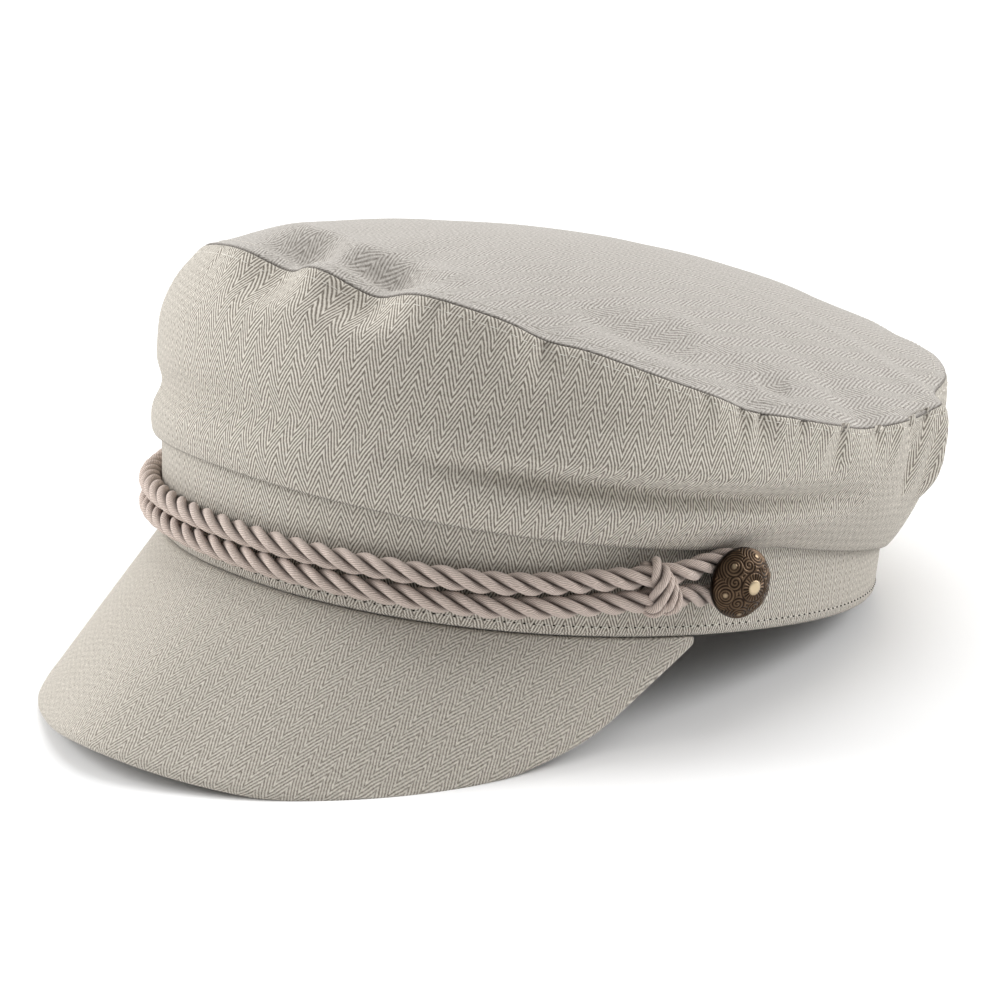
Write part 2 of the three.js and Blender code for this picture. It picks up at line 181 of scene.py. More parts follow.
# Pleats that the gathered side makes under the seam: place, length down the side as a share,
# half width and rise in millimetres
Pleat = namedtuple("Pleat", "angle length spread rise")
SEAM_PLEATS = [
    Pleat(-46, 0.14, 1.1, -1.6),
    Pleat(-43.5, 0.12, 1.3, 1.1),
    Pleat(-40, 0.1, 1, -0.7),
    Pleat(-32, 0.1, 1, -0.8),
    Pleat(-23.5, 0.12, 1, -0.9),
    Pleat(-21.5, 0.12, 1.1, 0.9),
    Pleat(-17.5, 0.14, 1.1, -1.1),
    Pleat(-16, 0.2, 1.2, 1.2),
    Pleat(-14.2, 0.18, 1.1, -1.3),
    Pleat(-11.5, 0.14, 1.4, 0.9),
    Pleat(-8, 0.16, 1.1, -1.2),
    Pleat(-3, 0.24, 1.7, 1.2),
    Pleat(0.5, 0.22, 1.3, -1.5),
    Pleat(4.5, 0.16, 1.6, 0.8),
    Pleat(9, 0.2, 1.4, -1.1),
    Pleat(13.5, 0.3, 1.8, 1.2),
    Pleat(17.5, 0.2, 1.3, -1.2),
    Pleat(23.5, 0.3, 1.6, -1.5),
    Pleat(-104, 0.14, 1.6, -0.9),
    Pleat(-61, 0.14, 1.6, -0.9),
    Pleat(48, 0.2, 1.8, -1.2),
    Pleat(62, 0.18, 1.6, 1),
    Pleat(77, 0.2, 1.8, -1.2),
    Pleat(95, 0.18, 1.8, -1),
    Pleat(112, 0.2, 2, 1.1),
    Pleat(131, 0.2, 1.8, -1.2),
    Pleat(149, 0.18, 1.8, -1),
    Pleat(168, 0.2, 2, -1.2),
    Pleat(-171, 0.18, 1.8, 1),
    Pleat(-152, 0.16, 1.8, -1),
]

LIE = (
    Matrix.Scale(MM, 4)
    @ Matrix.Translation(REST_PLACE)
    @ Matrix.Rotation(math.radians(-REST_TILT), 4, "X")
)


def bell(value):
    return math.exp(-value * value)


def lerp(start, end, share):
    return start + (end - start) * share


def clamp(value, low=0.0, high=1.0):
    return max(low, min(high, value))


def smooth(value, low, high):
    share = clamp((value - low) / (high - low))
    return share * share * (3 - 2 * share)


# The shortest way round from one angle to another, in degrees.
def angle_between(start, end):
    return (end - start + 180) % 360 - 180


def oval_point(angle, half_width, half_length, power):
    c = math.cos(angle)
    s = math.sin(angle)
    scale = (abs(c) ** power + abs(s) ** power) ** (-1 / power)
    return Vector((half_width * scale * c, half_length * scale * s, 0))


def head_point(angle):
    return oval_point(angle, HEAD_HALF_WIDTH, HEAD_HALF_LENGTH, HEAD_SQUARENESS)


# The level direction out of the headband.
@cache
def head_normal(angle):
    step = 0.002
    along = head_point(angle + step) - head_point(angle - step)
    return along.cross(UP).normalized().freeze()


def band_point(angle, height, stand_off):
    front = max(0.0, -math.sin(angle)) ** 2
    flare = BAND_FLARE * front * height / BAND_HEIGHT
    point = head_point(angle) + head_normal(angle) * (flare + stand_off)
    point.z = height
    return point


# Distances round the headband from the middle of its rear, against the angle
REAR = math.pi / 2
ARC_STEPS = 1440
ARC_ANGLES = [REAR + 2 * math.pi * k / ARC_STEPS for k in range(ARC_STEPS + 1)]
ARC_LENGTHS = [0.0]
for turned, reached in zip(ARC_ANGLES, ARC_ANGLES[1:]):
    ARC_LENGTHS.append(ARC_LENGTHS[-1] + (head_point(reached) - head_point(turned)).length)
HEAD_ROUND = ARC_LENGTHS[-1]


# The angle at a distance round the headband from the middle of its rear.
@cache
def angle_of(arc):
    arc = arc % HEAD_ROUND
    k = int(clamp(bisect_left(ARC_LENGTHS, arc), 1, ARC_STEPS))
    share = (arc - ARC_LENGTHS[k - 1]) / (ARC_LENGTHS[k] - ARC_LENGTHS[k - 1])
    return lerp(ARC_ANGLES[k - 1], ARC_ANGLES[k], share)


# The distance round the headband at an angle.
def arc_of(angle):
    place = (angle - REAR) % (2 * math.pi) / (2 * math.pi) * ARC_STEPS
    k = min(int(place), ARC_STEPS - 1)
    return lerp(ARC_LENGTHS[k], ARC_LENGTHS[k + 1], place - k)


def fold_rise(folds, degrees, share, round_length, share_length):
    per_degree = math.radians(1) * round_length
    rise = 0.0
    for fold in folds:
        x = angle_between(degrees, fold.angle) * per_degree
        y = (fold.share - share) * share_length
        run_x = (fold.to_angle - fold.angle) * per_degree
        run_y = (fold.to_share - fold.share) * share_length
        nearest = clamp(-(x * run_x + y * run_y) / (run_x ** 2 + run_y ** 2 + 1e-9))
        distance = math.hypot(x + run_x * nearest, y + run_y * nearest)
        if distance < 3 * fold.spread:
            fade = 1 - FOLD_FADE * abs(2 * nearest - 1) ** 3
            rise += fold.rise * fade * bell(distance / fold.spread)
    return rise


# A pleat is deepest a little under the seam and runs out down the side.
def pleat_rise(degrees, share):
    down = 1 - share
    rise = 0.0
    for pleat in SEAM_PLEATS:
        across = math.radians(angle_between(degrees, pleat.angle)) * HEAD_HALF_LENGTH
        if abs(across) < 3 * pleat.spread and down < 2 * pleat.length:
            ends = smooth(down, 0, PLEAT_HEAD) * bell(down / pleat.length)
            rise += pleat.rise * ends * bell(across / pleat.spread)
    return rise


def dent_share(dent, angle):
    return bell(angle_between(math.degrees(angle), dent.angle) / dent.half_angle)


# How deep the seam's own hollows are at an angle. column is a dent's drop or its inset.
@cache
def hollow_depth(angle, column):
    return sum(getattr(dent, column) * dent_share(dent, angle) for dent in SEAM_DENTS)


def dent_depth(angle, column):
    corner = getattr(CORNER_DENT, column) * dent_share(CORNER_DENT, angle)
    return corner + hollow_depth(angle, column)


def crown_height(angle, share):
    ends = (RISE_FRONT + RISE_REAR) / 2
    middle = (ends + RISE_SIDE) / 2
    saddle = (RISE_SIDE - ends) / 2 * math.cos(2 * angle) * share ** 2
    lean = (RISE_REAR - RISE_FRONT) / 2 * math.sin(angle) * share
    corners = CORNER_LIFT * (1 - math.cos(4 * angle)) / 2 * share ** 4
    return BAND_HEIGHT + middle + saddle + lean + corners + CROWN_DOME * (1 - share ** 2)


CROWN_CENTRE = (OVERHANG_REAR - OVERHANG_FRONT) / 2


@cache
def seam_point(angle):
    half_width = HEAD_HALF_WIDTH + OVERHANG_SIDE
    half_length = HEAD_HALF_LENGTH + (OVERHANG_FRONT + OVERHANG_REAR) / 2
    point = oval_point(angle, half_width, half_length, CROWN_ROUNDNESS)
    point -= head_normal(angle) * dent_depth(angle, "inset")
    point.y += CROWN_CENTRE
    point.z = crown_height(angle, 1) - dent_depth(angle, "drop")
    return point.freeze()


def crease_drop(angle):
    turn = math.sin(angle)
    if turn < 0:
        return lerp(CREASE_DROP_SIDE, CREASE_DROP_FRONT, turn * turn)
    return lerp(CREASE_DROP_SIDE, CREASE_DROP_REAR, turn)


# The unevenness of soft cloth at a place, between -1 and 1.
def cloth_unevenness(point):
    return noise.noise(point / UNEVENNESS_SPREAD)


# The crown's side, from share 0 at the fold over the headband to share 1 at the seam.
def side_surface(angle, share):
    low = band_point(angle, BAND_HEIGHT - crease_drop(angle), SIDE_STAND_OFF)
    high = seam_point(angle)
    held = math.sin(math.pi * clamp(share)) ** SIDE_HOLD
    degrees = math.degrees(angle)
    folds = fold_rise(SIDE_FOLDS, degrees, share, HEAD_HALF_LENGTH, high.z - low.z)
    hollow = head_normal(angle) * hollow_depth(angle, "inset") + UP * hollow_depth(angle, "drop")
    point = low.lerp(high + hollow, share) - hollow * smooth(share, HOLLOW_FOOT, 1)
    swell = SIDE_BULGE * held + folds * math.sqrt(held) + pleat_rise(degrees, share)
    swell += SIDE_UNEVENNESS * held * cloth_unevenness(point)
    return point + head_normal(angle) * swell


# The top panel, from the seam at inwards 0 to its middle at inwards 1.
def top_surface(angle, inwards):
    share = 1 - inwards
    seam = seam_point(angle)
    drop = dent_depth(angle, "drop") * (1 - smooth(inwards, 0, TOP_HOLLOW_END))
    length = HEAD_HALF_LENGTH
    folds = fold_rise(TOP_FOLDS, math.degrees(angle), share, length * share, length)
    freed = smooth(inwards, TOP_HELD_END, TOP_FREE_START)
    point = Vector((seam.x * share, lerp(CROWN_CENTRE, seam.y, share), 0))
    point.z = crown_height(angle, share) - drop + folds * freed + TOP_LIFT
    point.z += TOP_UNEVENNESS * freed * cloth_unevenness(point)
    return point


# A peak section at a share of the way from its middle to a corner, eased through the table.
@cache
def peak_section(at):
    rows = PEAK_SECTIONS
    k = max(i for i in range(len(rows) - 1) if rows[i].at <= at)
    width = rows[k + 1].at - rows[k].at
    share = (at - rows[k].at) / width

    def eased(column):
        values = [getattr(row, column) for row in rows]
        places = [row.at for row in rows]

        def slope(i):
            if i == 0:
                return 0.0
            if i == len(rows) - 1:
                return (values[i] - values[i - 1]) / (places[i] - places[i - 1])
            return (values[i + 1] - values[i - 1]) / (places[i + 1] - places[i - 1])

        s2, s3 = share * share, share ** 3
        return (
            (2 * s3 - 3 * s2 + 1) * values[k]
            + (s3 - 2 * s2 + share) * width * slope(k)
            + (3 * s2 - 2 * s3) * values[k + 1]
            + (s3 - s2) * width * slope(k + 1)
        )

    return PeakSection(at, eased("reach"), eased("slope"), eased("lean"))


# The peak's top face, from its root under the headband at outwards 0 to its edge at 1.
def peak_surface(side, outwards):
    at = min(1.0, abs(side))
    angle = math.radians(-90 + side * (90 + PEAK_CORNER_ANGLE))
    section = peak_section(at)
    slope = math.radians(section.slope)
    reach = section.reach * PEAK_REACH * outwards
    out = head_normal(angle) - Vector((0, section.lean, 0))
    out.normalize()
    point = head_point(angle) + out * reach * math.cos(slope)
    arch = PEAK_ARCH * outwards * (1 - outwards) * (1 - at * at)
    point.z = arch - reach * math.sin(slope) - GAP
    return point


FLOOR_NORMAL = Vector((0, -math.sin(math.radians(REST_TILT)), math.cos(math.radians(REST_TILT))))
FLOOR_LEVEL = REST_FLAT - HEAD_HALF_LENGTH * math.sin(math.radians(REST_TILT))


# Where the cap rests, its cloth is pressed flat against the surface under it.
def settle(point):
    below = FLOOR_LEVEL - point.dot(FLOOR_NORMAL)
    return point + FLOOR_NORMAL * below if below > 0 else point


# A grid laid over a surface of two shares. weave gives each place's coordinates in the cloth,
# in millimetres, which go into the piece's UV map. The last argument, if given, gives each
# place's share of painted shade, which goes into an attribute.
def wrapped_grid(columns, rows, surface, weave, painted_shade=None):
    mesh = bmesh.new()
    bmesh.ops.create_grid(mesh, x_segments=columns, y_segments=rows, size=0.5)
    cloth = mesh.loops.layers.uv.new("cloth")
    shade = mesh.verts.layers.float.new("painted_shade") if painted_shade else None
    for vertex in mesh.verts:
        across, along = vertex.co.x + 0.5, vertex.co.y + 0.5
        place = weave(across, along)
        for loop in vertex.link_loops:
            loop[cloth].uv = place
        if painted_shade:
            vertex[shade] = painted_shade(across, along)
        vertex.co = settle(surface(across, along))
    for face in mesh.faces:
        face.smooth = True
    bmesh.ops.remove_doubles(mesh, verts=mesh.verts, dist=0.001)
    return mesh


# Ends a piece: its mesh is laid as the cap rests, and it rides on the cap and stands for a node.
def finish_piece(name, mesh, material, nodes=()):
    mesh.transform(LIE)
    data = bpy.data.meshes.new(name)
    mesh.to_mesh(data)
    mesh.free()
    data.materials.append(material)
    piece = bpy.data.objects.new(name, data)
    bpy.context.collection.objects.link(piece)
    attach(piece, "root")
    if nodes:
        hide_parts(*nodes)
    return piece


def thicken(piece, wall):
    solid = piece.modifiers.new("wall", "SOLIDIFY")
    solid.thickness = wall * MM
    solid.offset = -1


# The nodes of one material, with short ways to add and join them.
class Shader:
    def __init__(self, name):
        self.material = bpy.data.materials.new(name)
        self.material.use_nodes = True
        self.tree = self.material.node_tree
        self.surface = self.tree.nodes["Principled BSDF"]

    def node(self, kind, inputs=(), **settings):
        made = self.tree.nodes.new(kind)
        for key, value in settings.items():
            setattr(made, key, value)
        for key, value in dict(inputs).items():
            self.feed(made.inputs[key], value)
        return made

    def feed(self, socket, value):
        if isinstance(value, bpy.types.NodeSocket):
            self.tree.links.new(value, socket)
        else:
            socket.default_value = value

    def math(self, operation, *values):
        made = self.node("ShaderNodeMath", operation=operation)
        for socket, value in zip(made.inputs, values):
            self.feed(socket, value)
        return made.outputs[0]

    def mix(self, factor, first, second):
        made = self.node("ShaderNodeMix", data_type="RGBA")
        self.feed(made.inputs[0], factor)
        self.feed(made.inputs[6], first)
        self.feed(made.inputs[7], second)
        return made.outputs[2]

    def noise(self, vector, scale, layers, roughness):
        inputs = {"Vector": vector, "Scale": scale, "Detail": layers, "Roughness": roughness}
        return self.node("ShaderNodeTexNoise", inputs).outputs["Fac"]

    # Adds a noise to a level, spread evenly about zero.
    def speckled(self, level, vector, speckle):
        speckles = self.noise(vector, speckle.scale, speckle.layers, speckle.roughness)
        spread = self.math("MULTIPLY_ADD", speckles, speckle.depth, -speckle.depth / 2)
        return self.math("ADD", level, spread)

    def colour(self, value):
        self.feed(self.surface.inputs["Base Color"], value)

    def bump(self, height, distance):
        inputs = {"Height": height, "Distance": distance}
        self.feed(self.surface.inputs["Normal"], self.node("ShaderNodeBump", inputs).outputs[0])

    # Sets plain values of the surface by the names of its sockets.
    def set_values(self, values):
        for name, value in values.items():
            self.surface.inputs[name].default_value = value


# Speckles of a material: their scale, layers and roughness, and how much of a level they make
Speckle = namedtuple("Speckle", "scale layers roughness depth")

# Cloth colours, the colour of painted shade at creases and seams, and the weave in millimetres
YARN_LIGHT = (0.7, 0.655, 0.58, 1)
YARN_DARK = (0.17, 0.147, 0.118, 1)
# The top panel's cloth: a darker, greyer copy of the side cloth with less weave contrast, painted shade
# for the top, which faces the light from above
SHADED_TOP_YARN_LIGHT = (0.62, 0.587, 0.545, 1)
SHADED_TOP_YARN_DARK = (0.16, 0.141, 0.12, 1)
TOP_CONTRAST = 0.52
PEAK_CONTRAST = 0.62
CREASE_SHADE = (0.06, 0.05, 0.04, 1)
CHEVRON_WIDTH = 5.7
TWILL_ACROSS = 0.8
TWILL_ALONG = 1.9
TWILL_DEPTH = 0.56
CLOTH_TONE = 0.54
WANDER_SCALE = 0.22
WANDER = (0.7, 0.7, 0)
SLUBS = Speckle(0.9, 3.0, 0.6, 0.5)
YARN_GRAIN = Speckle(1.7, 3.0, 0.75, 1.6)
YARN_BUMP = 0.12 * MM
CLOTH_FINISH = {
    "Roughness": 0.95,
    "Specular IOR Level": 0.2,
    "Sheen Weight": 0.15,
    "Sheen Roughness": 0.6,
}


def herringbone(name, contrast=1.0, light=YARN_LIGHT, dark=YARN_DARK):
    shader = Shader(name)
    place = shader.node("ShaderNodeUVMap", uv_map="cloth").outputs[0]
    wander = shader.node("ShaderNodeTexNoise", {"Vector": place, "Scale": WANDER_SCALE}).outputs["Color"]
    pulled = shader.node("ShaderNodeVectorMath", operation="MULTIPLY_ADD")
    shader.feed(pulled.inputs[0], wander)
    pulled.inputs[1].default_value = WANDER
    shader.feed(pulled.inputs[2], place)
    split = shader.node("ShaderNodeSeparateXYZ", {"Vector": pulled.outputs[0]})
    across, along = split.outputs[0], split.outputs[1]
    zigzag = shader.math("PINGPONG", across, CHEVRON_WIDTH / 2)
    climb = shader.math("MULTIPLY", zigzag, TWILL_ALONG / TWILL_ACROSS)
    phase = shader.math("MULTIPLY", shader.math("ADD", climb, along), 2 * math.pi / TWILL_ALONG)
    wave = shader.math("SINE", phase)
    level = shader.math("MULTIPLY_ADD", wave, TWILL_DEPTH * contrast, CLOTH_TONE)
    level = shader.speckled(level, place, SLUBS)
    level = shader.speckled(level, place, YARN_GRAIN)
    level.node.use_clamp = True
    painted_shade = shader.node("ShaderNodeAttribute", attribute_name="painted_shade").outputs["Fac"]
    # Painted shade: the shade share kept on the mesh darkens the cloth towards CREASE_SHADE.
    shader.colour(shader.mix(painted_shade, shader.mix(level, dark, light), CREASE_SHADE))
    shader.bump(level, YARN_BUMP)
    shader.set_values(CLOTH_FINISH)
    return shader.material


# Rope colours, with the colour of painted shade in the creases between its plies, and the yarn
# lines on its plies, in millimetres
ROPE_LIGHT = (0.8, 0.68, 0.61, 1)
ROPE_DARK = (0.33, 0.25, 0.205, 1)
ROPE_CREASE_SHADE = (0.05, 0.03, 0.022, 1)
ROPE_YARN_PITCH = 0.5
ROPE_YARN_LEAN = -0.22
ROPE_YARN_DEPTH = 0.32
ROPE_TONE = 0.6
ROPE_WANDER_SCALE = 0.35
ROPE_FUZZ = Speckle(2.2, 3.0, 0.7, 0.7)
ROPE_BUMP = 0.2 * MM


def rope_cotton():
    shader = Shader("rope_cotton")
    place = shader.node("ShaderNodeUVMap", uv_map="cloth").outputs[0]
    painted_shade = shader.node("ShaderNodeAttribute", attribute_name="painted_shade").outputs["Fac"]
    split = shader.node("ShaderNodeSeparateXYZ", {"Vector": place})
    along, around = split.outputs[0], split.outputs[1]
    lean = shader.math("MULTIPLY_ADD", along, ROPE_YARN_LEAN, around)
    lean = shader.math("ADD", lean, shader.noise(place, ROPE_WANDER_SCALE, 2.0, 0.5))
    lines = shader.math("SINE", shader.math("MULTIPLY", lean, 2 * math.pi / ROPE_YARN_PITCH))
    level = shader.math("MULTIPLY_ADD", lines, ROPE_YARN_DEPTH, ROPE_TONE)
    level = shader.speckled(level, place, ROPE_FUZZ)
    level.node.use_clamp = True
    # Painted shade: the shade share kept on the mesh darkens the creases between the plies.
    shader.colour(shader.mix(painted_shade, shader.mix(level, ROPE_DARK, ROPE_LIGHT), ROPE_CREASE_SHADE))
    shader.bump(level, ROPE_BUMP)
    shader.set_values({"Roughness": 0.9, "Specular IOR Level": 0.2, "Sheen Weight": 0.2})
    return shader.material


# Brass tones: how high on the ornament each is, and its colour
BRASS_GROOVE = (0.05, (0.02, 0.011, 0.006, 1))
BRASS_LINE = (0.45, (0.13, 0.085, 0.052, 1))
BRASS_BOSS = (0.9, (0.62, 0.5, 0.33, 1))
PATINA = Speckle(700.0, 3.0, 0.5, 0.3)


def antique_brass():
    shader = Shader("antique_brass")
    relief = shader.node("ShaderNodeAttribute", attribute_name="relief").outputs["Fac"]
    place = shader.node("ShaderNodeTexCoord").outputs["Object"]
    worn = shader.speckled(relief, place, PATINA)
    ramp = shader.node("ShaderNodeValToRGB", {"Fac": worn})
    tones = ramp.color_ramp.elements
    tones[0].position, tones[0].color = BRASS_GROOVE
    tones[1].position, tones[1].color = BRASS_BOSS
    tones.new(BRASS_LINE[0]).color = BRASS_LINE[1]
    shader.colour(ramp.outputs[0])
    shader.set_values({"Metallic": 0.9, "Roughness": 0.36})
    return shader.material


def pale_floor():
    shader = Shader("pale_floor")
    shader.set_values({"Base Color": (0.95, 0.95, 0.95, 1), "Roughness": 1.0, "Specular IOR Level": 0.0})
    return shader.material


# Crown side. Its lower edge turns in to the headband and its upper edge turns in at the seam.
SIDE_COLUMNS = 600
SIDE_ROWS = 64
SEAM_ROLL_ROWS = 0.04
CREASE_ROLL_ROWS = 0.06
SIDE_OPEN_ROWS = 1 - CREASE_ROLL_ROWS - SEAM_ROLL_ROWS
SEAM_LIP = 0.01
# Painted shade at the fold over the headband and at the seam: its strength at the fold and the rows it
# covers
CREASE_DARKNESS = 0.75
CREASE_SHADE_START = 0.5 * CREASE_ROLL_ROWS
CREASE_SHADE_END = 1.05 * CREASE_ROLL_ROWS
SEAM_SHADE_ROWS = 0.9 * SEAM_ROLL_ROWS
SIDE_CLOTH_ACROSS = 1.05
SIDE_CLOTH_ALONG = 1.1


def add_crown_side(material):
    def surface(across, along):
        angle = angle_of(across * HEAD_ROUND)
        way = (along - CREASE_ROLL_ROWS) / SIDE_OPEN_ROWS
        point = side_surface(angle, clamp(way))
        if way > 1:
            turn = (way - 1) * SIDE_OPEN_ROWS / SEAM_ROLL_ROWS * math.pi / 2
            point -= head_normal(angle) * SEAM_TUCK * (1 - math.cos(turn))
            point.z += SEAM_TUCK * (math.sin(turn) - 1)
        elif way > 1 - SEAM_LIP:
            point.z -= SEAM_TUCK * (way - 1 + SEAM_LIP) / SEAM_LIP
        elif way < 0:
            turn = -way * SIDE_OPEN_ROWS / CREASE_ROLL_ROWS * math.pi
            point -= head_normal(angle) * CREASE_TUCK * (1 - math.cos(turn)) / 2
            point.z -= CREASE_ROLL * math.sin(turn)
        return point

    def weave(across, along):
        angle = angle_of(across * HEAD_ROUND)
        height = (seam_point(angle) - band_point(angle, BAND_HEIGHT, 0)).length
        return across * HEAD_ROUND * SIDE_CLOTH_ACROSS, along * height * SIDE_CLOTH_ALONG

    # Painted shade: darkens the cloth's colour on the fold turned in over the headband and on the roll
    # at the seam.
    def shade(across, along):
        at_band = 1 - smooth(along, CREASE_SHADE_START, CREASE_SHADE_END)
        return max(CREASE_DARKNESS * at_band, smooth(along, 1 - SEAM_SHADE_ROWS, 1))

    mesh = wrapped_grid(SIDE_COLUMNS, SIDE_ROWS, surface, weave, shade)
    piece = finish_piece("crown_side_cloth", mesh, material, ["crown_side"])
    thicken(piece, CROWN_WALL)
    return piece


# Crown top. Its edge turns down at the seam, and its rows are closer together there.
TOP_COLUMNS = 420
TOP_ROWS = 70
TOP_ROLL_ROWS = 0.03
TOP_ROW_CROWDING = 1.25
TOP_LIP = 0.05
TOP_SHADE_ROWS = 0.9 * TOP_ROLL_ROWS


def add_crown_top(material):
    def surface(across, along):
        angle = angle_of(across * HEAD_ROUND)
        inwards = (along - TOP_ROLL_ROWS) / (1 - TOP_ROLL_ROWS)
        inwards = clamp(inwards) ** TOP_ROW_CROWDING
        point = top_surface(angle, inwards)
        if along < TOP_ROLL_ROWS:
            turn = (1 - along / TOP_ROLL_ROWS) * math.pi / 2
            point += head_normal(angle) * SEAM_TUCK * (math.sin(turn) - 1)
            point.z -= SEAM_TUCK * (1 - math.cos(turn))
        else:
            point -= head_normal(angle) * SEAM_TUCK * (1 - smooth(inwards, 0, TOP_LIP))
        return point

    def weave(across, along):
        point = surface(across, along)
        return point.x, point.y

    # Painted shade: darkens the cloth's colour on the top's edge rolled down at the seam.
    def shade(across, along):
        return 1 - smooth(along, 0, TOP_SHADE_ROWS)

    mesh = wrapped_grid(TOP_COLUMNS, TOP_ROWS, surface, weave, shade)
    piece = finish_piece("crown_top_cloth", mesh, material, ["crown_top"])
    thicken(piece, CROWN_WALL)
    return piece


# Headband: its section runs up the outer face, over its upper edge and down the inner face.
BAND_COLUMNS = 480
BAND_ROWS = 48


def add_headband(material):
    rim = BAND_WALL / 2
    straight = BAND_HEIGHT - 2 * rim
    bend = math.pi * rim
    whole = 2 * (straight + bend)

    def section(along):
        way = along * whole
        if way < straight:
            return rim + way, 0.0
        if way < straight + bend:
            turn = (way - straight) / rim
            return rim + straight + rim * math.sin(turn), -rim * (1 - math.cos(turn))
        if way < 2 * straight + bend:
            return rim + straight - (way - straight - bend), -BAND_WALL
        turn = (way - 2 * straight - bend) / rim
        return rim - rim * math.sin(turn), -BAND_WALL + rim * (1 - math.cos(turn))

    def surface(across, along):
        height, stand_off = section(along)
        angle = angle_of(across * HEAD_ROUND)
        return band_point(angle, height, stand_off)

    def weave(across, along):
        return across * HEAD_ROUND, along * whole

    mesh = wrapped_grid(BAND_COLUMNS, BAND_ROWS, surface, weave)
    return finish_piece("headband_cloth", mesh, material, ["headband"])


# Peak: its section runs from the root over the top face, round its edge and back under it.
PEAK_COLUMNS = 240
PEAK_ROWS = 88
PEAK_TUCK = 1.8
PEAK_TUCK_ROWS = 0.02
PEAK_FACE_ROWS = 0.46


# The peak's cloth laid out flat: each strip between two rules of the peak keeps its lengths.
def flat_peak():
    def tip(start, end, to_start, to_end):
        base = (end - start).length
        along = (to_start ** 2 - to_end ** 2 + base ** 2) / (2 * base)
        aside = math.sqrt(max(0.0, to_start ** 2 - along ** 2))
        way = (end - start) / base
        return start + way * along + Vector((-way.y, way.x)) * aside

    half = PEAK_COLUMNS // 2
    root, edge = peak_surface(0, 0), peak_surface(0, 1)
    flat = [(Vector((0, 0)), Vector((0, -(edge - root).length)))]
    for k in range(1, half + 1):
        next_root, next_edge = peak_surface(k / half, 0), peak_surface(k / half, 1)
        flat_root, flat_edge = flat[-1]
        new_edge = tip(flat_edge, flat_root, (next_edge - edge).length, (next_edge - root).length)
        new_root = tip(new_edge, flat_root, (next_root - next_edge).length, (next_root - root).length)
        flat.append((new_root, new_edge))
        root, edge = next_root, next_edge
    return flat


def add_peak(material):
    tuck, face = PEAK_TUCK_ROWS, PEAK_FACE_ROWS
    flat = flat_peak()

    def square_out(side, outwards):
        step = 0.002
        inner = max(0.0, min(outwards, 1.0) - step)
        across = peak_surface(side + step, inner) - peak_surface(side - step, inner)
        along = peak_surface(side, inner + step) - peak_surface(side, inner)
        return across.cross(along).normalized()

    def surface(across, along):
        side = lerp(1.0, -1.0, across)
        if along < tuck:
            angle = math.radians(-90 + side * (90 + PEAK_CORNER_ANGLE))
            return peak_surface(side, 0) - head_normal(angle) * PEAK_TUCK * (1 - along / tuck)
        way = along - tuck
        if way <= face:
            return peak_surface(side, way / face)
        end = 1 - tuck - face
        normal = square_out(side, 1.0 if way < end else (1 - tuck - way) / face)
        if way >= end:
            return peak_surface(side, (1 - tuck - way) / face) + normal * PEAK_WALL
        turn = (way - face) / (end - face) * math.pi
        edge = peak_surface(side, 1.0)
        out = (edge - peak_surface(side, 0.98)).normalized()
        rim = PEAK_WALL / 2
        return edge + normal * rim * (1 - math.cos(turn)) + out * rim * math.sin(turn)

    def weave(across, along):
        side = lerp(1.0, -1.0, across)
        root, edge = flat[round(abs(side) * (len(flat) - 1))]
        way = along - tuck
        outwards = way / face if way < 0.5 - tuck / 2 else (1 - tuck - way) / face
        place = root.lerp(edge, outwards)
        return math.copysign(place.x, side), place.y

    mesh = wrapped_grid(PEAK_COLUMNS, PEAK_ROWS, surface, weave)
    return finish_piece("peak_cloth", mesh, material, ["peak"])


# Distances below run along the headband from the left button towards the front. Beside a knot,
# the rope stands off between these distances from the knot's middle, in knot lengths.
KNOT_AHEAD = (0.6, 2.4)
KNOT_BEHIND = (-1.6, -0.6)
BUTTON_ARC = arc_of(math.radians(BUTTON_ANGLE))
FRONT_DISTANCE = BUTTON_ARC - HEAD_ROUND / 2
LOOP_RADIUS = SHANK_RADIUS + LOOP_GAP + ROPE_RADIUS
RUN_SPACING = ROPE_RADIUS + GAP / 2


def rope_height(distance):
    return lerp(BUTTON_HEIGHT, ROPE_FRONT_HEIGHT, smooth(distance, 0, ROPE_RISE_END))


def rope_stand_off(distance):
    lengths = (distance - KNOT_DISTANCE) / KNOT_LENGTH
    ahead = 1 - smooth(lengths, *KNOT_AHEAD)
    behind = smooth(lengths, *KNOT_BEHIND)
    return ROPE_RADIUS + GAP + lerp(LOOP_LIFT, KNOT_CLEARANCE, behind) * ahead


def rope_place(distance, height):
    angle = angle_of(BUTTON_ARC - distance)
    return band_point(angle, height, rope_stand_off(distance)), head_normal(angle)


def run_place(distance, side):
    opened = 1 - smooth(distance, 0, KNOT_DISTANCE - KNOT_LENGTH / 2)
    height = rope_height(distance) + side * lerp(RUN_SPACING, LOOP_RADIUS, opened)
    return rope_place(distance, height)


def loop_place(turn):
    distance = -LOOP_RADIUS * math.sin(turn)
    return rope_place(distance, BUTTON_HEIGHT + LOOP_RADIUS * math.cos(turn))


# Places on each run of the rope's middle line, and on each loop
RUN_STEPS = 160
LOOP_STEPS = 24


# The rope's middle line, all the way round, with the direction out of the headband at each
# place. It is one closed loop.
def rope_route():
    run, loop = RUN_STEPS, LOOP_STEPS
    upper = [run_place(FRONT_DISTANCE * (1 - (k + 0.5) / run), 1) for k in range(run)]
    lower = [run_place(FRONT_DISTANCE * (k + 0.5) / run, -1) for k in range(run)]
    turned = [loop_place(k / loop * math.pi) for k in range(1, loop)]
    left = upper + turned + lower
    flip = Matrix.Diagonal((-1, 1, 1))
    right = [(flip @ point, flip @ out) for point, out in reversed(left)]
    return left + right


